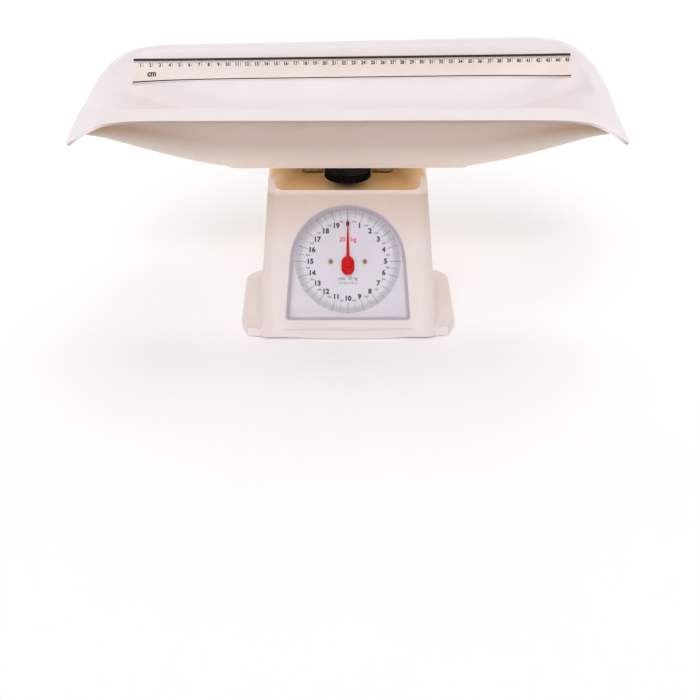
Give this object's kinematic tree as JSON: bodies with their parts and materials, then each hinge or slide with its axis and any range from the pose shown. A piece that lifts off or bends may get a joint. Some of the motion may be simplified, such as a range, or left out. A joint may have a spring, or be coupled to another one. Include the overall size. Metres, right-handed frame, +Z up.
{
  "type": "mechanical dial baby scale",
  "caption": "Spring-balance baby scale: tapered plastic casing with a round dial and red needle under a long shallow baby tray with a length rule.",
  "frame": {"origin": "on the resting surface, below the middle of the baby tray", "axes": "+X to the right of the dial along the tray, +Y to the rear, +Z up"},
  "size_m": [0.5284, 0.2492, 0.2561],
  "materials": {
    "cream_casing": "moulded cream ABS, satin gloss",
    "cream_tray": "moulded cream plastic, satin gloss",
    "clear_lens": "clear acrylic window",
    "dial_print": "white dial sheet with black print",
    "pointer_red": "red enamel",
    "knob_black": "black moulded hand wheel",
    "zinc_yellow": "yellow zinc plated sheet steel",
    "steel_bright": "bright zinc plated fasteners and pins",
    "spring_steel": "oiled spring wire",
    "turned_brass": "turned and cut brass",
    "foot_rubber": "black rubber",
    "rule_paper": "printed self-adhesive strip"
  },
  "bodies": {
    "base": {"casing": "cream_casing", "dial_lens": "clear_lens", "base_plate": "zinc_yellow", "rubber_feet": "foot_rubber", "casing_screws": "steel_bright", "chassis_bolts": "steel_bright", "chassis": "zinc_yellow", "upper_pivot_pin": "steel_bright", "lower_pivot_pin": "steel_bright", "dial_plate": "dial_print", "pointer_bracket": "zinc_yellow", "bracket_screws": "steel_bright", "front_bearing_bush": "turned_brass", "rear_bearing_bush": "turned_brass", "dial_screws": "steel_bright", "left_main_spring": "spring_steel", "right_main_spring": "spring_steel"},
    "upper_link": {"upper_check_link": "zinc_yellow", "upper_link_rivets": "steel_bright"},
    "lower_link": {"lower_check_link": "zinc_yellow", "lower_link_rivets": "steel_bright"},
    "pointer_assembly": {"pointer": "pointer_red", "pointer_shaft": "steel_bright", "pinion": "turned_brass"},
    "zero_wheel": {"zero_knob": "knob_black", "zero_screw": "steel_bright", "zero_screw_clip": "steel_bright"},
    "yoke": {"spring_yoke": "zinc_yellow", "yoke_nut": "steel_bright"},
    "carrier": {"carrier_frame": "zinc_yellow", "rack": "turned_brass", "rack_screw": "steel_bright", "post_screws": "steel_bright", "platform": "cream_tray", "tray_screws": "steel_bright", "baby_tray": "cream_tray", "length_rule": "rule_paper"}
  },
  "joints": [
    {"name": "carrier_slide", "type": "slide", "parent": "base", "child": "carrier", "axis": [0, 0, 1], "range_m": [-0.01628, 0], "stiffness_N_per_m": 12050, "springref_m": 0.0015, "deforming": ["left_main_spring", "right_main_spring"]},
    {"name": "pointer_turn", "type": "hinge", "parent": "base", "child": "pointer_assembly", "pos_m": [0, -0.05298, 0.0749], "axis": [0, -0.9648, 0.2631], "range_deg": [-361, 0.5]},
    {"name": "upper_link_swing", "type": "hinge", "parent": "base", "child": "upper_link", "pos_m": [0, 0.045, 0.105], "axis": [1, 0, 0], "range_deg": [-0.5, 21.5]},
    {"name": "lower_link_swing", "type": "hinge", "parent": "base", "child": "lower_link", "pos_m": [0, 0.045, 0.035], "axis": [1, 0, 0], "range_deg": [-0.5, 21.5]},
    {"name": "zero_turn", "type": "hinge", "parent": "base", "child": "zero_wheel", "pos_m": [0, -0.0154, 0.153], "axis": [0, 0, 1], "range_deg": [-360, 360]},
    {"name": "yoke_lift", "type": "slide", "parent": "base", "child": "yoke", "axis": [0, 0, 1], "range_m": [-0.00081, 0.00081]}
  ],
  "couplings": [
    {"joint": "pointer_turn", "follows": "carrier_slide", "rad_per_m": 385.91},
    {"joint": "upper_link_swing", "follows": "carrier_slide", "rad_per_m": -22.345},
    {"joint": "lower_link_swing", "follows": "carrier_slide", "rad_per_m": -22.345},
    {"joint": "yoke_lift", "follows": "zero_turn", "m_per_rad": -0.00012732}
  ]
}
